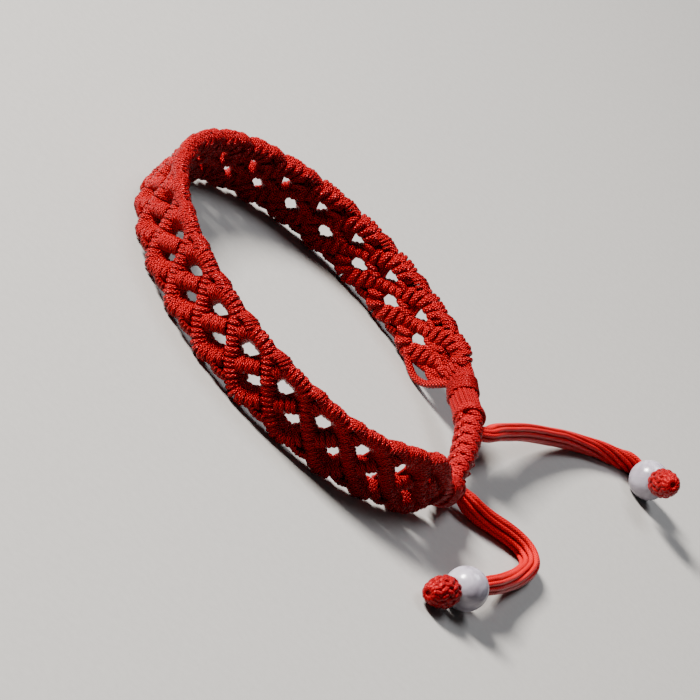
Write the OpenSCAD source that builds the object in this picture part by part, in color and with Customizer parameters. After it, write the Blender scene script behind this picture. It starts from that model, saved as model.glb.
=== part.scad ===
// Knotted string bracelet: an open band of knotted diamonds, a wrapped end on each
// side of it, and one sliding knot that joins them. Two tails leave the sliding knot,
// each with a drilled stone bead and an end knot. The loop lies on its side, +Z up,
// with the origin on the surface at the loop's middle and the closure towards +X.

/* [Band] */
// Radius of the loop, to the middle of the band's wall
loop_r = 28.4; // [28:0.1:30]
// Width of the band from edge to edge
band_w = 10; // [9.8:0.1:11]
// Thickness of the band's wall, which is one knotted bar
wall_t = 2.3; // [1.8:0.1:2.4]
// Width of one knotted bar
bar_w = 2.3; // [1.9:0.1:2.4]
// Number of diamonds in the upper row
diamonds = 21; // [19:1:21]
// Length of band that one diamond takes
pitch = 6.9; // [6.6:0.05:6.95]
// Height between the two levels at which the bars cross
row_gap = 2.2; // [2:0.1:3]
// Distance from the band's edge to the turning points of the bars
edge_in = 1.2; // [1:0.05:1.25]
// Thickness of the single cord that closes each edge
edge_cord = 0.9; // [0.7:0.1:1]
// Depth of the dips between the scallops of the edges
dip = 0.4; // [0.2:0.1:0.6]
// Lean of the net at the back of the loop, in mm along the band for each mm of height
lean_back = 0.5; // [0:0.1:0.5]
// Lean of the net at the two ends of the band
lean_ends = -0.2; // [-0.2:0.1:0]
// Shift of the diamonds towards the back of the loop, in half pitches
crowding = 0.3; // [0:0.05:0.3]

/* [Closure] */
// Height of the band's end where its cords gather
gather_h = 4.2; // [4:0.1:4.6]
// Height of the gathered cords' middle at the rear end of the band
gather_z_rear = 6; // [5.4:0.1:6.6]
// Height of the gathered cords' middle at the front end of the band
gather_z_front = 4.4; // [4.2:0.1:5]
// Diameter of the wrapped ends beside the sliding knot
wrap_d = 4.4; // [3.6:0.1:4.4]
// Diameter of the sliding knot over its ribs
knot_d = 4.2; // [3.8:0.1:4.4]
// Length of the sliding knot
knot_l = 14.4; // [13:0.2:15]
// Number of ribs on the sliding knot
knot_ribs = 13; // [9:1:15]
// Height of the sliding knot's axis at its rear end
knot_z_rear = 5.6; // [5:0.1:6]
// Height of the sliding knot's axis at its front end
knot_z_front = 2.6; // [2.2:0.1:3]

/* [Tails] */
// Diameter of a tail, a bundle of twelve thin cords
tail_d = 2.8; // [2.4:0.1:3]
// Diameter of the bundle where it is drawn through the bead
thread_d = 2; // [1.6:0.1:2]
// Diameter of a stone bead
bead_d = 6; // [5.8:0.1:6]
// Diameter of the hole drilled through a bead
bead_bore = 2.3; // [2.2:0.1:2.6]
// Diameter of an end knot at its thickest
end_knot_d = 4.4; // [4:0.1:4.8]
// Length of an end knot
end_knot_l = 5.3; // [4.4:0.1:5.6]

/* [Hidden] */

// Routes of the two tails over the surface, from the sliding knot through the bead
REAR_TAIL = [[30.6, 7.4, 5.6], [31.7, 9.2, 5.6], [32.9, 11.6, 5.2], [34.3, 14.1, 4.8],
             [36.0, 16.8, 4.5], [38.0, 20.2, 4.0], [40.3, 23.7, 3.5], [42.7, 27.1, 3.0],
             [45.1, 30.4, 2.5], [47.6, 33.7, 2.1], [50.2, 36.8, 1.7], [52.9, 39.6, 1.4],
             [55.6, 42.0, 1.4], [58.1, 43.9, 1.4], [60.4, 45.4, 1.4], [62.4, 46.7, 1.4],
             [64.0, 47.1, 1.4], [65.1, 45.6, 1.4], [65.3, 43.0, 3.0], [65.4, 40.4, 4.7]];
FRONT_TAIL = [[30.4, -6.4, 2.3], [32.0, -6.2, 2.0], [34.2, -5.5, 1.6], [36.6, -4.6, 1.4],
              [38.9, -3.9, 1.4], [41.1, -3.6, 1.4], [42.8, -4.1, 1.4], [43.7, -5.6, 1.4],
              [43.7, -7.7, 1.4], [42.9, -10.1, 1.4], [41.7, -12.8, 1.5], [40.3, -15.6, 1.8],
              [38.8, -18.5, 2.2], [37.3, -21.3, 2.7], [36.0, -23.7, 3.2], [33.3, -27.6, 3.3],
              [31.5, -30.0, 3.0], [29.6, -32.3, 2.6]];

half = pitch / 2;
band_l = diamonds * pitch;
deg = 180 / PI / loop_r;
end_angle = (360 - band_l * deg) / 2;
// Heights at which the bars turn and cross, from the lower edge to the upper
level = [edge_in, (band_w - row_gap) / 2, (band_w + row_gap) / 2, band_w - edge_in];
knot_x = loop_r + wall_t / 2 - knot_d / 2;
knot_rear = [knot_x, knot_l / 2, knot_z_rear];
knot_front = [knot_x, -knot_l / 2, knot_z_front];
// Clear gap between neighbouring pieces
gap = 0.1;
// Half the width of a dip between two scallops
dip_half = 1.8;
// Radial length of the prisms that cut the wall
cut = 5;
red = "firebrick";

// The band's own coordinates: u along it from the rear end, and height z
function unit(v) = v / norm(v);
function angle_at(u) = end_angle + u * deg;

// A convex outline, counter-clockwise, with every side moved in by d
function inset(p, d) = [for (i = [0:len(p) - 1]) let (
    n = len(p), b = p[i],
    s = unit(b - p[(i + n - 1) % n]), t = unit(p[(i + 1) % n] - b),
    m = [-s.y, s.x], k = [-t.y, t.x]) b + (m + k) * d / (1 + m * k)];

// Where the net's k-th half pitch is, in mm along the band. It is tightest at the back.
function place(k) = half * (k + crowding * sin(180 * (diamonds - k) / diamonds));

// An outline that stands k half pitches along the band, leaning as the net does there
function leaning(p, k) = let (
    back = pow(sin(90 * k / diamonds), 2),
    lean = lean_back * back + lean_ends * (1 - back))
    [for (q = p) [q.x + lean * (q.y - band_w / 2), q.y]];

// Prism of an outline in (u, z) about u = at, which cuts the wall straight through
module through(at, outline) {
    rotate([0, 0, angle_at(at)]) translate([loop_r, 0, 0]) rotate([90, 0, 90])
        linear_extrude(height = cut, center = true) polygon(outline);
}

// One diamond between four crossings, those beside it at height side_z
module diamond(k, low, high, side_z) {
    corners = [[0, low], [half, side_z], [0, high], [-half, side_z]];
    through(place(k), inset(leaning(corners, k), bar_w / 2));
}

// The bars crowd together at both ends, so the upper row leaves out its end diamonds
module diamonds_cut() {
    last = 2 * diamonds - 1;
    for (k = [3:2:last - 2])
        diamond(k, level[1], level[3], level[2]);
    for (k = [2:2:last - 1])
        diamond(k, level[0], level[2], level[1]);
}

// The same outline for the lower edge
function turned(p) = [for (i = [len(p) - 1:-1:0]) [p[i].x, band_w - p[i].y]];

// The small triangle that an edge cord closes, drawn for the upper edge
function edge_gap() = let (
    top = band_w - edge_cord + bar_w / 2,
    reach = half * (top - level[2]) / (level[3] - level[2]))
    [[0, level[2]], [reach, top], [-reach, top]];

// Notch between two scallops of the upper edge
function notch() = [[0, band_w - dip], [4 * dip_half, band_w + 3 * dip],
                    [-4 * dip_half, band_w + 3 * dip]];

module edges_cut() {
    last = 2 * diamonds - 1;
    for (k = [2:2:last - 1])
        through(place(k), inset(leaning(edge_gap(), k), bar_w / 2));
    for (k = [1:2:last])
        through(place(k), leaning(notch(), k));
    for (k = [3:2:last - 2]) {
        through(place(k), inset(leaning(turned(edge_gap()), k), bar_w / 2));
        through(place(k), leaning(turned(notch()), k));
    }
}

// Prism of an outline that is drawn for the rear end, or mirrored to the front end
module rear_cut(p) { through(0, p); }
module front_cut(p) { through(band_l, [for (i = [len(p) - 1:-1:0]) [-p[i].x, p[i].y]]); }

// Corners cut away at the band's ends, and the gap inside the loose loop at the rear end
module ends_cut() {
    high = gather_z_rear + gather_h / 2;
    low = gather_z_rear - gather_h / 2;
    front_high = gather_z_front + gather_h / 2;
    rear_cut([[-1, high], [2.2, band_w + 0.3], [2.2, band_w + 1], [-1, band_w + 1]]);
    rear_cut([[-1, -1], [2.6, -1], [2.6, -0.2], [0.9, 0.5], [-1, low + 0.6]]);
    rear_cut([[1.4, 1.5], [2, 1.15], [4.4, 1.15], [3.3, 2], [1.5, low - 0.2]]);
    front_cut([[-1, front_high - 0.8], [6.4, band_w + 0.3], [6.4, band_w + 1], [-1, band_w + 1]]);
    front_cut([[-1, -1], [1.4, -1], [1.4, -0.2], [-1, 1.2]]);
}

module band() {
    color(red) difference() {
        rotate_extrude(angle = 360 - 2 * end_angle, start = end_angle, $fn = 180)
            translate([loop_r - wall_t / 2, 0]) square([wall_t, band_w]);
        diamonds_cut();
        edges_cut();
        ends_cut();
    }
}

// Solid swept along points; sizes gives [half width, half height] at each point
module sweep(points, sizes, sides) {
    n = len(points);
    rings = [for (i = [0:n - 1]) let (
        t = unit(points[min(i + 1, n - 1)] - points[max(i - 1, 0)]),
        s = unit(cross(t, [0, 0, 1])), v = cross(s, t))
        for (j = [0:sides - 1]) let (a = 360 * (j + 0.5) / sides)
            points[i] + s * sizes[i].x * cos(a) + v * sizes[i].y * sin(a)];
    walls = [for (i = [0:n - 2], j = [0:sides - 1]) let (
        a = i * sides + j, b = i * sides + (j + 1) % sides)
        [a, b, b + sides, a + sides]];
    ends = [[for (j = [sides - 1:-1:0]) j], [for (j = [0:sides - 1]) (n - 1) * sides + j]];
    polyhedron(rings, faces = concat(walls, ends), convexity = 6);
}

// Bundle of gathered cords, whipped round, from the band's end to the sliding knot
function bend(a, b, c, d, t) =
    a * pow(1 - t, 3) + 3 * b * t * pow(1 - t, 2) + 3 * c * t * t * (1 - t) + d * pow(t, 3);
module wrap(side, gather_z, knot_end) {
    steps = 8;
    handle = 1.8;
    a = end_angle * side;
    along = [sin(a), -cos(a), 0] * side;
    axis = unit(knot_front - knot_rear) * side;
    start = [loop_r * cos(a), loop_r * sin(a), gather_z] + along * gap;
    finish = knot_end - axis * gap;
    points = [for (i = [0:steps])
        bend(start, start + along * handle, finish - axis * handle, finish, i / steps)];
    sizes = [for (i = [0:steps]) let (t = min(1, 1.6 * i / steps))
        [wall_t * 0.62 * (1 - t) + wrap_d / 2 * t, gather_h / 2 * (1 - t) + wrap_d / 2 * t]];
    color(red) sweep(points, sizes, 12);
}

module rear_wrap() { wrap(1, gather_z_rear, knot_rear); }
module front_wrap() { wrap(-1, gather_z_front, knot_front); }

// Sliding knot: a straight row of square knots, one rib each
module sliding_knot() {
    rib = norm(knot_rear - knot_front) / knot_ribs;
    fall = atan2(knot_z_rear - knot_z_front, knot_l);
    r = knot_d / 2;
    color(red) translate(knot_front) rotate([fall - 90, 0, 0]) rotate_extrude($fn = 48)
        polygon(concat([[0, 0], [0.9 * r, 0]],
            [for (i = [0:knot_ribs - 1], p = [[1, 0.3], [1, 0.7], [0.9, 1]])
                [r * p.x, (i + p.y) * rib]],
            [[0, knot_ribs * rib]]));
}

// Tail: a bundle of cords, pinched where it leaves the sliding knot and at its bead
module tail(route) {
    n = len(route);
    sizes = [for (i = [0:n - 1]) [1, 1] / 2 *
        (i == 0 ? 0.65 * tail_d : i == 1 ? 0.8 * tail_d : i < n - 3 ? tail_d : thread_d)];
    color(red) sweep(route, sizes, 8);
}
module rear_tail() { tail(REAR_TAIL); }
module front_tail() { tail(FRONT_TAIL); }

// Places children at the bead, the last point but one, with +Z towards the end knot
module on_thread(route) {
    n = len(route);
    d = unit(route[n - 1] - route[n - 2]);
    translate(route[n - 2]) rotate([0, acos(d.z), atan2(d.y, d.x)]) children();
}

// Stone bead, drilled through
module bead(route) {
    color("ghostwhite") on_thread(route) difference() {
        sphere(d = bead_d, $fn = 64);
        cylinder(d = bead_bore, h = bead_d + 2, center = true, $fn = 48);
    }
}
module rear_bead() { bead(REAR_TAIL); }
module front_bead() { bead(FRONT_TAIL); }

// End knot: a woven button, thickest near the bead and narrow at its free end
module end_knot(route) {
    n = len(route);
    r = end_knot_d / 2;
    color(red) on_thread(route) translate([0, 0, norm(route[n - 1] - route[n - 2]) + gap])
        rotate_extrude($fn = 48)
            polygon([for (p = [[0, 0], [0.62, 0], [0.92, 0.14], [1, 0.34], [0.92, 0.58],
                               [0.7, 0.82], [0.4, 1], [0, 1]]) [p.x * r, p.y * end_knot_l]]);
}
module rear_end_knot() { end_knot(REAR_TAIL); }
module front_end_knot() { end_knot(FRONT_TAIL); }

band();
rear_wrap();
front_wrap();
sliding_knot();
rear_tail();
front_tail();
rear_bead();
front_bead();
rear_end_knot();
front_end_knot();
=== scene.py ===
import math

import bpy
import numpy as np
from mathutils import Matrix, Vector


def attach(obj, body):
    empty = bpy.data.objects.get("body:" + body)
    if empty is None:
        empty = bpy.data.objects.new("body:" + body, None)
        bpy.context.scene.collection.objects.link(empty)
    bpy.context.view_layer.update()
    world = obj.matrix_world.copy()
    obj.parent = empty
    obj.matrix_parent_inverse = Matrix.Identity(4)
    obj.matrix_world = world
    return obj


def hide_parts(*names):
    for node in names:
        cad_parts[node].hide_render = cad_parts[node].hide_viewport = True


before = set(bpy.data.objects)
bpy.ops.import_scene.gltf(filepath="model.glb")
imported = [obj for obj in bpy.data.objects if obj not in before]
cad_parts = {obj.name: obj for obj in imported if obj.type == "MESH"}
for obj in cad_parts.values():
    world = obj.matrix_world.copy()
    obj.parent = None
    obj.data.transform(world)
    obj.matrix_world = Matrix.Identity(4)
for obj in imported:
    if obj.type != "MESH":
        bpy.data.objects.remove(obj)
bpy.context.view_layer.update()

scene = bpy.context.scene


# Camera
# A long lens looks down on the bracelet at 22 degrees from 0.54 m away. It is rolled, so that
# the loop's upright axis leans to the upper right of the picture.
lens_mm = 203.1
away = 0.54
aim = Vector((0.0091, 0.0094, 0.00065))
turn, drop, roll = math.radians(17.15), math.radians(21.74), math.radians(48.31)
look = Vector((math.sin(turn) * math.cos(drop), math.cos(turn) * math.cos(drop), -math.sin(drop)))
level = Vector((math.cos(turn), -math.sin(turn), 0))
upright = level.cross(look)
right = level * math.cos(roll) + upright * math.sin(roll)
above = upright * math.cos(roll) - level * math.sin(roll)
camera = bpy.data.objects.new("camera", bpy.data.cameras.new("camera"))
camera.data.lens = lens_mm
camera.data.sensor_width = 36
camera.data.clip_start = 0.01
camera.matrix_world = (Matrix.Translation(aim - look * away)
                       @ Matrix((right, above, -look)).transposed().to_4x4())
scene.collection.objects.link(camera)
scene.camera = camera


# Tails
# Each tail is a bundle of thin braided nylon cords that leave the sliding knot side by side,
# run over the surface and are drawn together through a bead. They are soft and lie loose.
# Sizes of cords and knots are in mm, and MM turns them to metres
MM = 0.001
tail_cord_mm = 0.68
REAR_TAIL = [(30.6, 7.4, 5.6), (31.7, 9.2, 5.6), (32.9, 11.6, 5.2), (34.3, 14.1, 4.8),
             (36.0, 16.8, 4.5), (38.0, 20.2, 4.0), (40.3, 23.7, 3.5), (42.7, 27.1, 3.0),
             (45.1, 30.4, 2.5), (47.6, 33.7, 2.1), (50.2, 36.8, 1.7), (52.9, 39.6, 1.4),
             (55.6, 42.0, 1.4), (58.1, 43.9, 1.4), (60.4, 45.4, 1.4), (62.4, 46.7, 1.4),
             (64.0, 47.1, 1.4), (65.1, 45.6, 1.4), (65.3, 43.0, 3.0), (65.4, 40.4, 4.7)]
FRONT_TAIL = [(30.4, -6.4, 2.3), (32.0, -6.2, 2.0), (34.2, -5.5, 1.6), (36.6, -4.6, 1.4),
              (38.9, -3.9, 1.4), (41.1, -3.6, 1.4), (42.8, -4.1, 1.4), (43.7, -5.6, 1.4),
              (43.7, -7.7, 1.4), (42.9, -10.1, 1.4), (41.7, -12.8, 1.5), (40.3, -15.6, 1.8),
              (38.8, -18.5, 2.2), (37.3, -21.3, 2.7), (36.0, -23.7, 3.2), (33.3, -27.6, 3.3),
              (31.5, -30.0, 3.0), (29.6, -32.3, 2.6)]


def linear(hex_colour):
    """The linear colour of an sRGB hex value."""
    parts = [int(hex_colour[i:i + 2], 16) / 255 for i in (1, 3, 5)]
    return [c / 12.92 if c <= 0.04045 else ((c + 0.055) / 1.055) ** 2.4 for c in parts] + [1]


def add_node(material, kind, settings={}, links={}, **options):
    """Adds a shader node with its options, its sockets' settings and its links."""
    tree = material.node_tree
    made = tree.nodes.new(kind)
    for name, value in options.items():
        setattr(made, name, value)
    for socket, value in settings.items():
        made.inputs[socket].default_value = value
    for socket, source in links.items():
        tree.links.new(source, made.inputs[socket])
    return made


def smooth_line(points, steps):
    """A smooth line through points, with that many steps between each two."""
    p = np.array(points, float)
    p = np.vstack([2 * p[0] - p[1], p, 2 * p[-1] - p[-2]])
    t = (np.arange(steps) / steps)[:, None]
    line = [0.5 * (2 * b + (c - a) * t + (2 * a - 5 * b + 4 * c - d) * t ** 2
                   + (3 * b - a - 3 * c + d) * t ** 3)
            for a, b, c, d in zip(p, p[1:], p[2:], p[3:])]
    return np.vstack(line + [p[-2:-1]])


def unit(v):
    """Vectors of length one along v."""
    return v / np.maximum(np.linalg.norm(v, axis=-1, keepdims=True), 1e-12)


def length_along(line):
    """The running length at each point of a line."""
    return np.concatenate([[0], np.cumsum(np.linalg.norm(np.diff(line, axis=0), axis=1))])


def lay_cord(line, out, width, thick, sides=10):
    """One cord along a line in mm. Its thickness is measured towards out, its width across."""
    line = np.array(line, float)
    along = unit(np.gradient(line, axis=0))
    out = np.broadcast_to(np.array(out, float), line.shape)
    out = unit(out - (out * along).sum(-1, keepdims=True) * along)
    across = np.cross(along, out)
    angle = 2 * np.pi * np.arange(sides) / sides
    width = np.broadcast_to(width, len(line))[:, None, None]
    thick = np.broadcast_to(thick, len(line))[:, None, None]
    rings = (line[:, None] + across[:, None] * np.cos(angle)[None, :, None] * width / 2
             + out[:, None] * np.sin(angle)[None, :, None] * thick / 2)
    return rings, length_along(line)


def make_cords(name, cords, material):
    """One mesh object of many cords, each the rings and running length that lay_cord gives."""
    points, faces, uvs, count = [], [], [], 0
    for rings, run in cords:
        n, sides = rings.shape[:2]
        i, j = np.meshgrid(np.arange(n - 1), np.arange(sides), indexing="ij")
        k = (j + 1) % sides
        quads = np.stack([i * sides + j, (i + 1) * sides + j,
                          (i + 1) * sides + k, i * sides + k], -1)
        faces += (quads.reshape(-1, 4) + count).tolist()
        faces.append([count + s for s in range(sides)])
        faces.append([count + (n - 1) * sides + s for s in reversed(range(sides))])
        u = np.stack([run[i], run[i + 1], run[i + 1], run[i]], -1)
        v = np.stack([j, j, j + 1, j + 1], -1) / sides
        uvs.append(np.stack([u, v], -1).reshape(-1, 2))
        end_v = np.tile(np.arange(sides) / sides, 2)
        uvs.append(np.stack([np.full(2 * sides, run[0]), end_v], -1))
        points.append(rings.reshape(-1, 3) * MM)
        count += n * sides
    mesh = bpy.data.meshes.new(name)
    mesh.from_pydata(np.vstack(points).tolist(), [], faces)
    mesh.uv_layers.new(name="cord").data.foreach_set("uv", np.vstack(uvs).ravel())
    mesh.polygons.foreach_set("use_smooth", [len(f) == 4 for f in faces])
    mesh.materials.append(material)
    piece = bpy.data.objects.new(name, mesh)
    scene.collection.objects.link(piece)
    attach(piece, "root")
    return piece


def braided_nylon(name, red, painted_gap_shade, relief_mm, roughness, gloss):
    """Nylon cord braided from flat bundles of filament. The braid gives small chevrons, and
    the filaments a satin gloss. Its colour is full red at the braid's crowns and darkens to the
    gap colour in its gaps, as painted shade. The cord's own map runs in mm along it and once round
    it."""
    # A real yarn shows for about 0.25 mm of the cord's length, too fine for the render, so the
    # yarns are drawn twice as coarse
    yarn_mm = 0.52
    yarns = 6
    patch_mm = 3.85
    material = bpy.data.materials.new(name)
    material.use_nodes = True
    shader = material.node_tree.nodes["Principled BSDF"]
    cord_map = add_node(material, "ShaderNodeUVMap", uv_map="cord")
    parts = add_node(material, "ShaderNodeSeparateXYZ", links={0: cord_map.outputs[0]})
    run = add_node(material, "ShaderNodeMath", {1: 1 / yarn_mm}, {0: parts.outputs[0]},
                   operation="MULTIPLY")
    round_it = add_node(material, "ShaderNodeMath", {1: yarns}, {0: parts.outputs[1]},
                        operation="MULTIPLY")
    left = add_node(material, "ShaderNodeMath", links={0: run.outputs[0], 1: round_it.outputs[0]},
                    operation="ADD")
    right_hand = add_node(material, "ShaderNodeMath",
                          links={0: run.outputs[0], 1: round_it.outputs[0]}, operation="SUBTRACT")
    humps, cells = [], []
    for yarn in (left, right_hand):
        share = add_node(material, "ShaderNodeMath", links={0: yarn.outputs[0]}, operation="FRACT")
        half_turn = add_node(material, "ShaderNodeMath", {1: math.pi}, {0: share.outputs[0]},
                             operation="MULTIPLY")
        humps.append(add_node(material, "ShaderNodeMath", links={0: half_turn.outputs[0]},
                              operation="SINE"))
        cells.append(add_node(material, "ShaderNodeMath", links={0: yarn.outputs[0]},
                              operation="FLOOR"))
    both = add_node(material, "ShaderNodeMath",
                    links={0: cells[0].outputs[0], 1: cells[1].outputs[0]}, operation="ADD")
    even = add_node(material, "ShaderNodeMath", {1: 2}, {0: both.outputs[0]},
                    operation="FLOORED_MODULO")
    top = add_node(material, "ShaderNodeMix", links={0: even.outputs[0], 2: humps[0].outputs[0],
                                                     3: humps[1].outputs[0]})
    crown = add_node(material, "ShaderNodeMath",
                     links={0: humps[0].outputs[0], 1: humps[1].outputs[0]}, operation="MULTIPLY")
    braid = add_node(material, "ShaderNodeMix", {0: 0.4}, {2: top.outputs[0], 3: crown.outputs[0]})
    # The dye varies a little over patches of about 4 mm, and painted shade darkens the yarns' gaps
    # while the crowns stay bright
    place = add_node(material, "ShaderNodeTexCoord")
    patches = add_node(material, "ShaderNodeTexNoise", {"Scale": 1 / (patch_mm * MM), "Detail": 3},
                       {"Vector": place.outputs["Object"]})
    uneven = add_node(material, "ShaderNodeMapRange",
                      {"From Min": 0.3, "From Max": 0.7, "To Min": 0.8, "To Max": 1.12},
                      {"Value": patches.outputs[0]})
    # Painted shade and light: near the gap colour in the braid's gaps, full red at its crowns
    painted_braid_shading = add_node(material, "ShaderNodeMapRange",
                   {"From Min": 0.12, "From Max": 0.85, "To Min": 0.04, "To Max": 1},
                   {"Value": braid.outputs[0]})
    dye_and_painted_shading = add_node(material, "ShaderNodeMath", links={0: uneven.outputs[0], 1: painted_braid_shading.outputs[0]},
                     operation="MULTIPLY")
    colour = add_node(material, "ShaderNodeMix", {6: linear(painted_gap_shade), 7: linear(red)},
                      {0: dye_and_painted_shading.outputs[0]}, data_type="RGBA")
    bump = add_node(material, "ShaderNodeBump", {"Strength": 1.0, "Distance": relief_mm * MM},
                    {"Height": braid.outputs[0]})
    tree = material.node_tree
    tree.links.new(colour.outputs[2], shader.inputs["Base Color"])
    tree.links.new(bump.outputs[0], shader.inputs["Normal"])
    shader.inputs["Roughness"].default_value = roughness
    shader.inputs["Specular IOR Level"].default_value = gloss
    shader.inputs["Specular Tint"].default_value = linear("#ff383c")
    shader.inputs["IOR"].default_value = 1.53
    shader.inputs["Sheen Weight"].default_value = 0.02
    shader.inputs["Sheen Roughness"].default_value = 0.4
    shader.inputs["Sheen Tint"].default_value = linear("#ff5048")
    return material


# The free cords aren't stretched, so they are the smoothest. Their brighter red is painted light, a
# lit copy of the same nylon
tail_nylon = braided_nylon("braided_nylon_loose_painted_lit", "#e00716", "#7a030c", 0.08, 0.38, 0.45)


def tail_bundle(name, route, spin, spread, inner_end):
    """Twelve cords, nine about three. Along the tail, from 0 to 1, spin turns the bundle by
    degrees and spread opens it by a share of its full width. It begins inside the knot."""
    wander_mm, floor_gap_mm = 0.06, 0.02
    tallness = 1.05
    line = smooth_line([inner_end] + route, 8)
    t = np.linspace(0, 1, len(line))
    along = unit(np.gradient(line, axis=0))
    side = unit(np.cross(along, [0, 0, 1]))
    top = np.cross(side, along)
    angle = np.interp(t, *zip(*spin)) * math.pi / 180
    cords = []
    for count, ring_mm in ((3, 0.38), (9, 1.02)):
        reach = np.interp(t, *zip(*spread)) * ring_mm
        for j in range(count):
            a = angle + 2 * math.pi * j / count
            drift = wander_mm * np.sin(7 * t + 2.1 * j)
            place = line + (side * ((reach + drift) * np.cos(a))[:, None]
                            + top * ((reach * tallness + drift) * np.sin(a))[:, None])
            place[:, 2] = np.maximum(place[:, 2], tail_cord_mm / 2 + floor_gap_mm)
            cords.append(lay_cord(place, top, tail_cord_mm, tail_cord_mm, 8))
    return make_cords(name, cords, tail_nylon)


rear_tail = tail_bundle(
    "rear_tail_cords", REAR_TAIL,
    [(0, 0), (0.5, -15), (0.62, -40), (0.86, -190), (1, -215)],
    [(0, 0.6), (0.1, 0.95), (0.7, 1.0), (0.8, 1.2), (0.88, 0.85), (0.93, 0.68), (1, 0.68)],
    (28.4, 5.6, 5.2))
front_tail = tail_bundle(
    "front_tail_cords", FRONT_TAIL,
    [(0, 10), (0.4, 0), (0.7, 60), (1, 90)],
    [(0, 0.6), (0.1, 1.1), (0.4, 1.1), (0.6, 1.0), (0.85, 1.0), (0.93, 0.68), (1, 0.68)],
    (28.3, -6.4, 2.4))
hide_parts("rear_tail")
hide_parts("front_tail")


# Stone beads
# Two round beads of pale chalcedony, ground, polished and drilled. The stone is milky, so
# light goes a little way in, with faint clouds, and its polish gives one soft highlight.
cloud_mm = 3.03
bead_stone = bpy.data.materials.new("polished_chalcedony")
bead_stone.use_nodes = True
stone = bead_stone.node_tree.nodes["Principled BSDF"]
place = add_node(bead_stone, "ShaderNodeTexCoord")
clouds = add_node(bead_stone, "ShaderNodeTexNoise",
                  {"Scale": 1 / (cloud_mm * MM), "Detail": 5, "Distortion": 1.2},
                  {"Vector": place.outputs["Object"]})
milk = add_node(bead_stone, "ShaderNodeValToRGB", links={0: clouds.outputs[0]})
milk.color_ramp.elements[0].position = 0.35
milk.color_ramp.elements[0].color = linear("#87808a")
milk.color_ramp.elements[1].position = 0.7
milk.color_ramp.elements[1].color = linear("#a9a4ae")
bead_stone.node_tree.links.new(milk.outputs[0], stone.inputs["Base Color"])
stone.inputs["Roughness"].default_value = 0.22
stone.inputs["IOR"].default_value = 1.54
stone.inputs["Subsurface Weight"].default_value = 0.85
stone.inputs["Subsurface Radius"].default_value = (0.9, 0.85, 0.95)
stone.inputs["Subsurface Scale"].default_value = 0.002
for bead_name in ("rear_bead", "front_bead"):
    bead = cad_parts[bead_name]
    for material_slot in bead.material_slots:
        material_slot.material = bead_stone
    bead.data.shade_smooth()


# End knots
# Beyond each bead the nylon cords are tied in a small button knot, woven closely and drawn
# tight to an even egg. It is wider by the bead than at its free end, and keeps the bead on.
button_d, button_l = 4.4, 5.3
button_leads, button_bights = 8, 11
button_cord_mm, button_cord_thick = 0.8, 0.62
# Drawn this tight, the cord's own braid is pressed almost flat. Its darker red is painted shade, a
# shaded copy of the same nylon, and its gaps get lighter painted shade than the band's
button_nylon = braided_nylon("braided_nylon_drawn_tight_painted_shaded", "#8e020c", "#560107", 0.03, 0.36, 0.5)


def button_knot(name, route):
    """One cord that runs round the knot many times, over and under itself, about a heart."""
    gap_mm = 0.1
    weave_inset, weave_lift = 0.38, 0.13
    # Girth of the knot at heights from its base to its tip, both as shares of the whole
    heights = [0, 0.14, 0.34, 0.58, 0.82, 1]
    girths = [0.66, 0.92, 1, 0.94, 0.72, 0.4]
    ahead = unit(np.array(route[-1]) - np.array(route[-2]))
    side = unit(np.cross(ahead, [0, 0, 1]))
    top = np.cross(side, ahead)
    base = np.array(route[-1]) + ahead * gap_mm
    t = np.linspace(0, 2 * np.pi * button_leads, 125 * button_leads)
    phase = button_bights * t / button_leads
    climb = 0.5 - 0.5 * np.cos(phase)
    over = np.sin((button_leads - 1) * phase)
    height = 0.1 + 0.85 * climb
    reach = np.interp(height, heights, girths) * button_d / 2 - weave_inset + weave_lift * over
    out = side * np.cos(t)[:, None] + top * np.sin(t)[:, None]
    line = base + ahead * (height * button_l)[:, None] + out * reach[:, None]
    outward = out + ahead * ((climb - 0.5) * 1.2)[:, None]
    cords = [lay_cord(line, outward, button_cord_mm, button_cord_thick, 8)]
    # The heart is the cords' own ends, and fills the knot
    heart = base + ahead * np.linspace(0.1, button_l - 0.2, 14)[:, None]
    girth = np.interp(np.linspace(0, 1, 14), [0, 0.3, 0.7, 0.94, 1], [2.1, 3.6, 3.1, 1.7, 0.9])
    cords.append(lay_cord(heart, top, girth, girth, 16))
    knot = make_cords(name + "_weave", cords, button_nylon)
    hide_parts(name)
    return knot


rear_button = button_knot("rear_end_knot", REAR_TAIL)
front_button = button_knot("front_end_knot", FRONT_TAIL)


# Sliding knot
# A straight row of flat square knots, tied with two cords over the cords of both tails. One
# cord crosses the upper side each time, and the other shows as a row of bumps at each edge.
knot_front, knot_rear = np.array([27.45, -7.2, 2.6]), np.array([27.45, 7.2, 5.6])
half_knots = 13
sliding_w, sliding_h = 4.2, 4.0
tying_cord_mm = 1.12
held_cord_mm = 1.1
# Tied cord is pulled firm, so its braid stands out. Its crowns shine with real gloss and with
# painted highlight, and its gaps are darkened with painted shade, less deep than the band's
knot_nylon = braided_nylon("braided_nylon_tied", "#9e020d", "#3e0105", 0.12, 0.34, 0.65)
axis = unit(knot_rear - knot_front)
across = unit(np.cross(axis, [0, 0, 1]))
face = np.cross(across, axis)
step = np.linalg.norm(knot_rear - knot_front) / half_knots


def on_knot(distance):
    """Points of the knot's middle line, which bows a little outwards between its ends."""
    bow = 0.45 * np.sin(np.pi * np.clip(distance / step / half_knots, 0, 1))
    return knot_front + axis * distance[:, None] + (across + face) * bow[:, None]


t = np.linspace(0, half_knots - 0.1, 16 * half_knots)
swing = np.cos(np.pi * t)
cross_over = np.abs(np.sin(np.pi * t))
# The row is narrower at its front end and widest in the middle
narrow = 0.45 * np.clip(1 - t / 8, 0, 1) - 0.15 * np.sin(np.pi * t / half_knots)
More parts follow.
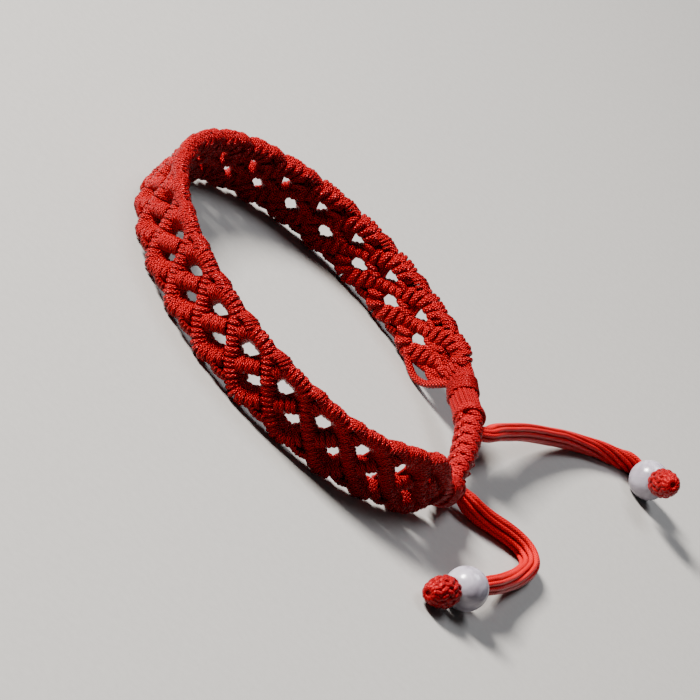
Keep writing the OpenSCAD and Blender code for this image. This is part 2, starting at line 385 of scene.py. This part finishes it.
# Both cords begin tucked in. The upper one crosses over the top and dips at the sides, where
# the lower one comes up outside it.
over_inset, over_base, over_rise = 0.85, -0.25, sliding_h / 2 - 0.3
under_inset, under_base, under_fall = 0.5, 0.55, sliding_h / 2 + 0.1
start_mm, lag_mm = 0.55 * step, 0.12
tuck = np.clip(0.2 + 2 * t, 0, 1)
over_x = (sliding_w / 2 - over_inset - narrow) * swing * tuck
over_z = over_base + over_rise * cross_over ** 0.7
under_x = -(sliding_w / 2 - under_inset - narrow) * np.sign(swing) * np.abs(swing) ** 0.8 * tuck
under_z = under_base - under_fall * cross_over ** 0.8
run = on_knot(start_mm + t * step)
over_line = run + across * over_x[:, None] + face * over_z[:, None]
under_line = run + across * under_x[:, None] + face * under_z[:, None] + axis * lag_mm
over_out = face + across * (0.6 * swing)[:, None]
under_out = face * (0.2 - 0.9 * cross_over)[:, None] - across * swing[:, None]
cords = [lay_cord(over_line, over_out, tying_cord_mm, 0.9, 12),
         lay_cord(under_line, under_out, tying_cord_mm, 0.95, 12)]
# The cords that they are tied over
for x, z in ((-0.75, 0.35), (0.75, 0.35), (0, 0.6), (-0.75, -0.45), (0.75, -0.45), (0, -0.7)):
    line = on_knot(np.linspace(0.1, 14.6, 20)) + across * x + face * z
    cords.append(lay_cord(line, face, held_cord_mm, held_cord_mm))
sliding_knot = make_cords("sliding_knot_cords", cords, knot_nylon)
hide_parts("sliding_knot")


# Band, long bars
# The band is a net of bars. Each bar is a core cord covered with double half hitches, so it
# looks like a rope with ribs across it. The long bars fall from the upper edge to the lower
# without a break on the outside, and turn round at both edges.
loop_r, wall, bar_w = 28.4, 2.3, 2.3
diamonds = 21
half_pitch = 3.45
band_l = 2 * diamonds * half_pitch
front_stop = band_l - 0.2
middle_z = 5
# The angle at which the band begins, and the heights at which its bars turn and meet
rear_end = math.radians(180) - band_l / 2 / loop_r
levels = [1.15, 3.4, 6.6, 8.6]
rib_mm = 0.68
hitch_wide, hitch_thick = 0.75, 0.66
core_mm = 1.3
# No two hitches are pulled quite equally tight
wobble = np.random.default_rng(5)


def on_band(u, z, lift):
    """The place of a point u mm along the band, z mm high and lift mm out of the wall."""
    turn = rear_end + np.asarray(u) / loop_r
    r = loop_r + lift
    # The upper corner at the front end stands up where the bars are drawn together
    corner = np.interp(u, [123, 129, 134, 138, 142], [0, 0.5, 1.3, 1.2, 0])
    z = z + corner * np.clip((np.asarray(z) - middle_z) / 4, 0, 1)
    return np.stack([r * np.cos(turn), r * np.sin(turn), z + 0 * turn], -1)


def on_bar(u, z, lift):
    """As on_band, for the bars. Towards the inside they crowd to the middle of the band."""
    depth = np.clip((0.3 - np.asarray(lift)) / 1.1, 0, 1)
    heights = [1.15, 2.2, 3.4, 5, 6.6, 7.6, 8.6]
    crowd = depth * np.interp(z, heights, [0.45, 0.75, 1.05, 0, -1.05, -0.75, -0.45])
    return on_band(u, z + crowd, lift)


def on_net(k, z):
    """The (u, z) of a point k half pitches along the net, which is tightest at the back of the
    loop and leans most there."""
    lean_back, lean_ends, crowding = 0.5, -0.2, 0.3
    back = math.sin(math.radians(90 / diamonds * k)) ** 2
    lean = lean_back * back + lean_ends * (1 - back)
    u = half_pitch * (k + crowding * math.sin(math.radians(180 / diamonds * (diamonds - k))))
    return (u + lean * (z - middle_z), z)


def even_line(points):
    """Rounds the corners of a line in the band's (u, z), then spaces its points evenly."""
    corner_mm, spacing_mm = 1.3, 0.05
    p = np.array(points, float)
    rounded = [p[:1]]
    for a, b, c in zip(p, p[1:], p[2:]):
        start = b + unit(a - b) * min(corner_mm, np.linalg.norm(a - b) / 2)
        stop = b + unit(c - b) * min(corner_mm, np.linalg.norm(c - b) / 2)
        t = np.linspace(0, 1, 9)[:, None]
        rounded.append(start * (1 - t) ** 2 + b * 2 * t * (1 - t) + stop * t ** 2)
    p = np.vstack(rounded + [p[-1:]])
    run = length_along(p)
    s = np.arange(0, run[-1], spacing_mm)
    return np.stack([np.interp(s, run, p[:, 0]), np.interp(s, run, p[:, 1])], -1), s


def hitched_bar(points):
    """The hitches along one bar, from a line in the band's (u, z), and its core cord. Outside,
    each hitch shows as a rib straight across. Inside, every second one shows as a slanting
    cord with a small loop beside it."""
    line, s = even_line(points)
    ahead = unit(np.gradient(line, axis=0))
    turns = max(1, round(s[-1] / rib_mm))
    rib = s[-1] / turns
    theta = np.linspace(0, 2 * np.pi * turns, 16 * turns)
    number = np.minimum(theta // (2 * np.pi), turns - 1)
    phase = theta - number * 2 * np.pi
    front = np.clip(phase / np.pi, 0, 1)
    back = np.clip(phase / np.pi - 1, 0, 1)
    # Each second hitch lies a little closer to the one before it
    pair = np.where(number % 2 == 0, 0.04, -0.04)
    # The cord goes nearly straight across outside, and moves on to the next hitch inside
    forward = 0.18 * front + 0.82 * back * back * (3 - 2 * back)
    at = np.clip(rib * (number + forward) + pair, 0, s[-1])
    size = (1 + 0.05 * wobble.standard_normal(turns))[number.astype(int)]

    def across_bar(at, phase, girth, extra):
        """Points on the bar's skin, at lengths along it and angles round it, and its middle."""
        u, z = np.interp(at, s, line[:, 0]), np.interp(at, s, line[:, 1])
        du, dz = np.interp(at, s, ahead[:, 0]), np.interp(at, s, ahead[:, 1])
        cosine, sine = np.cos(phase), np.sin(phase)
        # The section is squarer inside
        flat = np.where(sine < 0, 0.55, 0.85)
        # The inside is wider than the outside, save along the upper edge
        side = sine * np.interp(z, [7.4, 8.2], [1, 0])
        egg = 1.08 - np.where(side > 0, 0.24, 0.38) * side
        q = egg * (bar_w - hitch_thick) / 2 * np.sign(cosine) * np.abs(cosine) ** flat * girth
        lift = (wall - hitch_thick + extra) / 2 * np.sign(sine) * np.abs(sine) ** flat * girth
        return on_bar(u - dz * q, z + du * q, lift), on_bar(u, z, 0 * u)

    place, inside = across_bar(at, phase, size, 0)
    cords = [lay_cord(place, place - inside, hitch_wide, hitch_thick, 8)]
    mid = on_bar(line[::8, 0], line[::8, 1], 0)
    outside = on_bar(line[::8, 0], line[::8, 1], 1)
    cords.append(lay_cord(mid, outside - mid, core_mm, core_mm, 8))
    t = np.linspace(0, np.pi, 9)
    for k in range(0, turns - 1, 2):
        for slant, begin, width, extra in ((2.0, 1.0, 1.0, 0.85), (-1.0, 1.9, 0.8, 0.1)):
            at = np.clip(rib * (k + begin + slant * (0.5 - t / np.pi)), 0, s[-1])
            place, inside = across_bar(at, t + np.pi, 1, extra)
            cords.append(lay_cord(place, place - inside, width, 0.55, 8))
    return cords


# The band's cord is worked hard, so its braid is deep, and painted shade makes its gaps nearly black
band_nylon = braided_nylon("braided_nylon_knotted", "#aa020e", "#160002", 0.18, 0.32, 0.65)
cords = []
for k in range(-1, diamonds):
    top = 2 * k + 1
    start = [on_net(top - 0.3, 8.55), on_net(top + 0.2, 8.6), on_net(top + 0.6, 8.0),
             on_net(top + 1, levels[2])]
    stop = [on_net(top + 2, levels[1]), on_net(top + 2.55, 1.85), on_net(top + 2.9, levels[0]),
            on_net(top + 3.1, 1.2)]
    # The first bar and the last two end in the gathered cords
    if k == -1:
        line = [(0.2, 5.2), (2.2, 4.4)] + stop
    elif k == diamonds - 2:
        line = start + [on_net(41, levels[1]), (front_stop, 3.0)]
    elif k == diamonds - 1:
        line = [on_net(40.1, 8.9), (139.4, 8.8), (141.8, 7.9), (143.8, 6.6), (front_stop, 5.2)]
    else:
        line = start + stop
    cords += hitched_bar(line)
# At the ends further bars run from the net into the gathered cords
cords += hitched_bar([(0.4, 4.2), (2.2, 5.2), (4.2, 6.5), (5.4, 7.2)])
cords += hitched_bar([on_net(40, 1.15), (142.5, 1.2), (front_stop, 2.6)])
cords += hitched_bar([(139.6, 6.4), (142.6, 5.2), (front_stop, 4.1)])
long_bars = make_cords("band_long_bars", cords, band_nylon)
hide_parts("band")


# Band, cross bars
# The cross bars rise the other way, in short pieces between the long bars. They are hitched
# over the same cores, after these have turned round at the lower edge.
cords = []
# A piece stops this far short of a long bar's middle, and isn't laid if it is too short
clear_mm, shortest_mm = 0.9, 0.8
for m in range(-1, diamonds):
    stops = [on_net(2 * m + i, levels[i]) for i in range(4)]
    for i in range(3):
        a, b = np.array(stops[i]), np.array(stops[i + 1])
        # Nothing is laid past the band's ends, and two pieces give way to the gathered cords
        if b[0] < 0.1 or a[0] > band_l - 0.1 or (m, i) in ((0, 0), (diamonds - 1, 2)):
            continue
        if b[0] > band_l - 0.1:
            b = np.array([front_stop, 4.2])
        rising = unit(b - a)
        if i < 2 and b[0] < band_l - 1:
            b = b - rising * clear_mm
        if i > 0:
            a = a + rising * clear_mm
        line = [a, b]
        if i == 0:
            line = [on_net(2 * m + 0.1, 1.15), on_net(2 * m + 0.5, 1.7), b]
        if i == 2:
            top = 2 * m + 3
            line = [a, on_net(top - 0.72, 8.0), on_net(top - 0.5, 8.5), on_net(top - 0.25, 8.6)]
        if (m, i) == (-1, 2):
            line = [(-0.1, 7.7), (1.0, 8.4), on_net(0.75, 8.6)]
        if (m, i) == (diamonds - 2, 2):
            line = [a, on_net(40.4, 7.7)]
        if length_along(np.array(line))[-1] > shortest_mm:
            cords += hitched_bar(line)
cross_bars = make_cords("band_cross_bars", cords, band_nylon)
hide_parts("band")


# Band, edge cords
# Between two turns each edge is closed by the free cords that pass from bar to bar. They
# bulge a little outwards and give the band its scalloped edge.
upper_edge, lower_edge = 9.55, 0.8
running_mm, turning_mm, corner_cord_mm = 0.85, 0.52, 0.46


def edge_cord(points, width):
    """One free cord, from points of (u, z) and the lift out of the wall."""
    line = smooth_line([(*place, lift) for place, lift in points], 5)
    u, z, lift = line.T
    place = on_band(u, z, lift)
    return lay_cord(place, place - on_band(u, middle_z + 0 * u, 0), width, width, 8)


# Points of a cord that runs along the edge: half pitches from its middle, and mm in from the
# edge. A cord that turns over the edge also has its lift out of the wall.
arch = [(-0.5, 0.75), (-0.25, 0.5), (0, 0.4), (0.25, 0.5), (0.45, 0.85)]
over_edge = [(-0.07, 0.95, 0.98), (0, 0.42, 0.88), (0.06, 0.08, 0.42), (0.1, 0.0, 0),
             (0.14, 0.1, -0.42), (0.2, 0.45, -0.86), (0.27, 1.0, -0.95)]
cords = []
for k in range(2, 2 * diamonds - 1):
    edge, inward = (upper_edge, -1) if k % 2 == 0 else (lower_edge, 1)
    for lift in (-0.42, 0.42):
        points = [(on_net(k + along, edge + inward * rise), lift) for along, rise in arch]
        cords.append(edge_cord(points, running_mm))
    for number in range(5):
        start = k - 0.36 + 0.15 * number
        sag = 0.1 * abs(number - 2) ** 1.6
        points = [(on_net(start + along, edge + inward * (sag + rise)), lift)
                  for along, rise, lift in over_edge]
        cords.append(edge_cord(points, turning_mm))
# Inside, thin cords also pass from bar to bar across one corner of each diamond
# and close much of the upper diamonds in the rear half
for k in range(2, 2 * diamonds - 1):
    low = 1.9 if k % 2 == 0 else 5.1
    corner_cords = [(0.34, -0.75), (0.46, -0.6), (0.6, -0.7)]
    if k % 2 and k < diamonds - 1:
        corner_cords += [(0.1, -0.7), (0.22, -0.62)]
    for along, lift in corner_cords:
        points = [(on_net(k + along - 0.16, low), lift), (on_net(k + along, low + 1.4), lift),
                  (on_net(k + along + 0.04, low + 3.0), lift)]
        cords.append(edge_cord(points, corner_cord_mm))
# A loose loop at the rear end hangs from the lowest bar to the gathered cords, below two
# thicker cords that pass straight into them
loose_loop = [((8.2, 1.7), -0.5), ((7.1, 1.5), -0.9), ((5.9, 1.0), -1.0), ((4.5, 0.62), -1.0),
              ((2.9, 0.65), -1.0), ((1.1, 1.6), -1.0), ((-0.4, 3.3), -0.9), ((-1.6, 4.9), -0.6)]
outer_cord = [((6.6, 1.5), 0.1), ((4.9, 2.0), -0.2), ((3.2, 2.7), -0.4), ((1.4, 3.7), -0.4),
              ((-0.2, 4.7), -0.3), ((-1.4, 5.4), 0)]
inner_cord = [((4.6, 3.3), 0.2), ((3.4, 2.9), -0.3), ((2.2, 2.6), -0.6), ((0.8, 2.9), -0.7),
              ((-0.8, 4.2), -0.6)]
for points, width in ((loose_loop, 1.1), (outer_cord, 1.3), (inner_cord, 1.15)):
    cords.append(edge_cord(points, width))
edge_cords = make_cords("band_edge_cords", cords, band_nylon)
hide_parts("band")


# Wrapped ends
# At each end of the band all cords gather into a round bundle, which is whipped with fine
# thread as far as the sliding knot and finished there with one thick collar.
gather_h, wrap_d = 4.2, 4.4
gathered_count = 18
gathered_mm, gathered_thick = 0.68, 0.64
thread_mm, thread_turns, thread_start = 0.52, 5, 2.2
collar_mm, collar_turns = 0.95, 1.6
handle, gap = 1.8, 0.1


def part_way(s, run, vectors):
    """The vectors at running lengths s, between those known at running lengths run."""
    return np.stack([np.interp(s, run, vectors[:, i]) for i in range(3)], -1)


for name, side, gather_z, knot_end in (("rear_wrap", 1, 6.0, knot_rear),
                                       ("front_wrap", -1, 4.4, knot_front)):
    edge = rear_end * side
    along = np.array([math.sin(edge), -math.cos(edge), 0]) * side
    inward = axis * -side
    start = np.array([loop_r * math.cos(edge), loop_r * math.sin(edge), gather_z]) + along * gap
    finish = knot_end - inward * gap
    t = np.linspace(0, 1, 400)[:, None]
    middle = (start * (1 - t) ** 3 + 3 * (start + along * handle) * t * (1 - t) ** 2
              + 3 * (finish - inward * handle) * t * t * (1 - t) + finish * t ** 3)
    t = t[:, 0]
    # The rear one sways a little on its way
    if name == "rear_wrap":
        sways = [(0, 0.3), (0.15, 0.5), (0.5, -0.25), (0.8, -0.35), (1, 0)]
        sway = np.interp(t, *smooth_line(sways, 20).T)
        middle = middle + sway[:, None] * [0.72, 0, 0.7]
    ahead = unit(np.gradient(middle, axis=0))
    sideways = unit(np.cross(ahead, [0, 0, 1]))
    top = np.cross(sideways, ahead)
    # From the band's flat end the bundle soon becomes round
    blend = np.minimum(1, 1.6 * t)
    half_w = wall * 0.62 * (1 - blend) + wrap_d / 2 * blend
    half_h = gather_h / 2 * (1 - blend) + wrap_d / 2 * blend
    run = length_along(middle)
    # Gathered cords, from the bars' ends into the whipping, about a thick heart
    cords = [lay_cord(middle[::20], top[::20], (half_w * 2 - 1.2)[::20],
                      (half_h * 2 - 1.2)[::20], 12)]
    for j in range(gathered_count):
        a = 2 * np.pi * (j + 0.5) / gathered_count + 0.5 * t
        pull = np.clip(t * 6, 0, 1) * 0.3 + 0.02 + 0.06 * (j % 3)
        place = (middle + sideways * ((half_w - pull) * np.cos(a))[:, None]
                 + top * ((half_h - pull) * np.sin(a))[:, None])[::8]
        out = (sideways * np.cos(a)[:, None] + top * np.sin(a)[:, None])[::8]
        before = place[0] - along * 1.2 + top[0] * 0.1 * np.sin(a[0])
        place = np.vstack([before, place[:-1]])
        out = np.vstack([out[:1], out[:-1]])
        cords.append(lay_cord(place, out, gathered_mm, gathered_thick, 8))
    # Whipping thread
    theta = np.linspace(0, 2 * np.pi * thread_turns, 30 * thread_turns)
    s = thread_start + theta / (2 * np.pi) * thread_mm
    beside, upward = part_way(s, run, sideways), part_way(s, run, top)
    reach_w, reach_h = np.interp(s, run, half_w) - 0.04, np.interp(s, run, half_h) - 0.04
    place = (part_way(s, run, middle) + beside * (reach_w * np.cos(theta))[:, None]
             + upward * (reach_h * np.sin(theta))[:, None])
    out = (beside * np.cos(theta)[:, None] / reach_w[:, None]
           + upward * np.sin(theta)[:, None] / reach_h[:, None])
    cords.append(lay_cord(place, out, 0.54, 0.56, 8))
    # Collar beside the sliding knot
    theta = np.linspace(0, 2 * np.pi * collar_turns, 60)
    s = run[-1] - 0.9 + 0.35 * theta / (2 * np.pi)
    out = sideways[-1] * np.cos(theta)[:, None] + top[-1] * np.sin(theta)[:, None]
    place = part_way(s, run, middle) + out * (wrap_d / 2 - 0.25)
    cords.append(lay_cord(place, out, collar_mm, 0.8, 10))
    piece = make_cords(name + "_cords", cords, knot_nylon)
    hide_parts(name)


# Surface
# A plain table top of pale grey card, wide enough to fill the picture. It is matt, and its
# fibres are too fine to show, so clouds of about 1 mm stand for them.
cloud_of_fibres_mm = 1.11
card = bpy.data.materials.new("matt_card")
card.use_nodes = True
paper = card.node_tree.nodes["Principled BSDF"]
place = add_node(card, "ShaderNodeTexCoord")
fibres = add_node(card, "ShaderNodeTexNoise",
                  {"Scale": 1 / (cloud_of_fibres_mm * MM), "Detail": 4},
                  {"Vector": place.outputs["Object"]})
tone = add_node(card, "ShaderNodeMix", {6: linear("#989692"), 7: linear("#a2a09c")},
                {0: fibres.outputs[0]}, data_type="RGBA")
card.node_tree.links.new(tone.outputs[2], paper.inputs["Base Color"])
paper.inputs["Roughness"].default_value = 0.9
bpy.ops.mesh.primitive_plane_add(size=6)
floor = bpy.context.object
floor.name = "floor"
floor.data.materials.append(card)


# Studio light
# A soft lamp stands on the side of the band's back, about 35 degrees up, so that light comes
# from the top of the rolled picture. A weaker and wider one hangs above, and pale walls all
# round add a little.
def lamp(name, where, size, watts, colour):
    """A square lamp, size metres wide, that points at the bracelet."""
    light = bpy.data.objects.new(name, bpy.data.lights.new(name, "AREA"))
    light.data.size = size
    light.data.energy = watts
    light.data.color = linear(colour)[:3]
    light.location = where
    light.rotation_euler = (Vector((0.01, 0, 0)) - Vector(where)).to_track_quat("-Z", "Y").to_euler()
    scene.collection.objects.link(light)


lamp("key", (-0.64, 0.06, 0.45), 0.2, 31.0, "#fffaf6")
lamp("top", (0.03, 0.28, 0.75), 0.35, 4.4, "#f4f7ff")
world = bpy.data.worlds.new("pale_walls")
scene.world = world
world.use_nodes = True
world.node_tree.nodes["Background"].inputs[0].default_value = linear("#dfe4ea")
world.node_tree.nodes["Background"].inputs[1].default_value = 0.06
